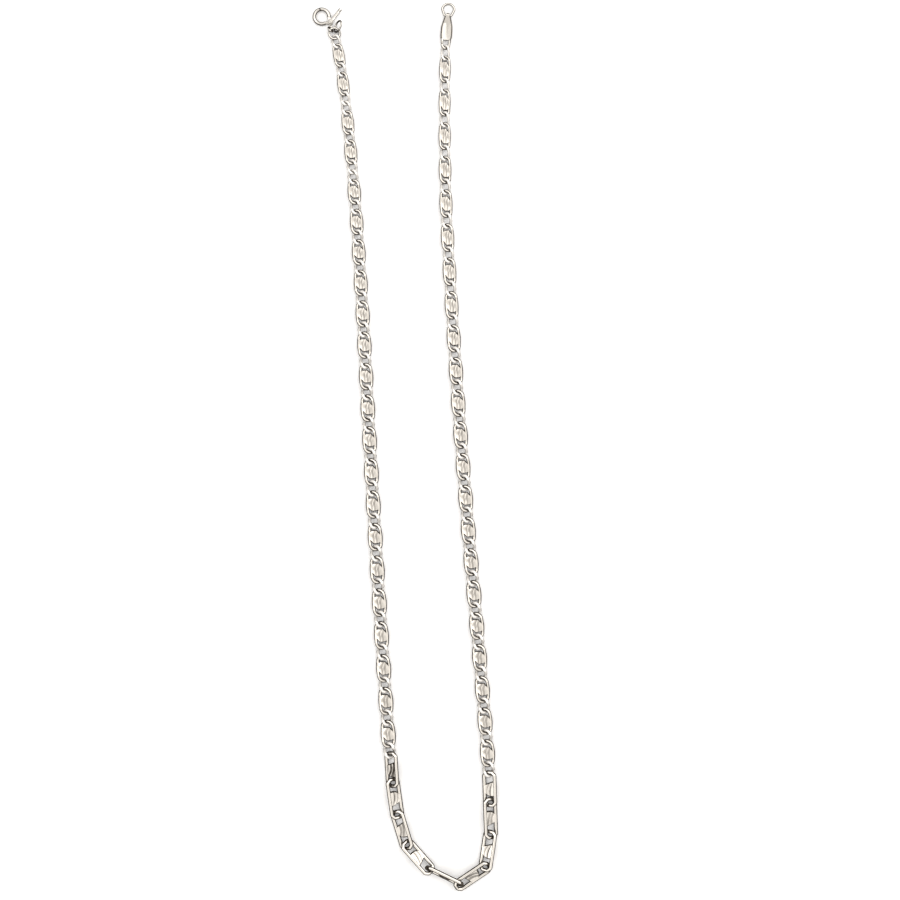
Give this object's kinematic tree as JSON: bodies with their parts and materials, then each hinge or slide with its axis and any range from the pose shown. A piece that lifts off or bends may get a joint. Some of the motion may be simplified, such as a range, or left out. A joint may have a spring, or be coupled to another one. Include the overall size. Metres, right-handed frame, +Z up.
{
  "type": "link chain necklace",
  "caption": "Unclasped neck chain of twisted silver links, plated links between plain rings, longer plated links at the front, a sprung clasp and a flat end tag.",
  "frame": {"origin": "middle of the chain's footprint on the surface it lies on", "axes": "+Y towards the two open ends of the chain, +X to the strand with the end tag, +Z up from the surface"},
  "size_m": [0.062, 0.2963, 0.0052],
  "materials": {
    "link_silver": "polished silver",
    "front_silver": "polished silver, fluted plates",
    "clasp_silver": "polished silver wire",
    "tag_silver": "polished silver sheet"
  },
  "bodies": {
    "chain": {"front_link_1": "front_silver", "front_link_2": "front_silver", "front_link_3": "front_silver", "front_link_4": "front_silver", "front_link_5": "front_silver", "front_link_6": "front_silver", "front_link_7": "front_silver", "front_link_8": "front_silver", "front_link_9": "front_silver", "left_link_1": "link_silver", "left_link_2": "link_silver", "left_link_3": "link_silver", "left_link_4": "link_silver", "left_link_5": "link_silver", "left_link_6": "link_silver", "left_link_7": "link_silver", "left_link_8": "link_silver", "left_link_9": "link_silver", "left_link_10": "link_silver", "left_link_11": "link_silver", "left_link_12": "link_silver", "left_link_13": "link_silver", "left_link_14": "link_silver", "left_link_15": "link_silver", "right_link_1": "link_silver", "right_link_2": "link_silver", "right_link_3": "link_silver", "right_link_4": "link_silver", "right_link_5": "link_silver", "right_link_6": "link_silver", "right_link_7": "link_silver", "right_link_8": "link_silver", "right_link_9": "link_silver", "right_link_10": "link_silver", "right_link_11": "link_silver", "right_link_12": "link_silver", "right_link_13": "link_silver", "right_link_14": "link_silver", "right_link_15": "link_silver", "right_link_16": "link_silver", "left_stretch_1": "link_silver", "left_stretch_2": "link_silver", "left_stretch_3": "link_silver", "left_stretch_4": "link_silver", "right_stretch_1": "link_silver", "right_stretch_2": "link_silver", "right_stretch_3": "link_silver", "right_stretch_4": "link_silver", "clasp_hook": "clasp_silver", "jump_ring": "clasp_silver", "side_ring": "clasp_silver", "end_tag": "tag_silver", "end_ring": "clasp_silver"},
    "gate": {"clasp_gate": "clasp_silver"}
  },
  "joints": [
    {"name": "clasp_gate_hinge", "type": "hinge", "parent": "chain", "child": "gate", "pos_m": [-0.0246, 0.14257, 0.0008], "axis": [0, 0, -1], "range_deg": [0, 22], "stiffness_Nm_per_rad": 0.0004, "springref_deg": -17.19}
  ]
}
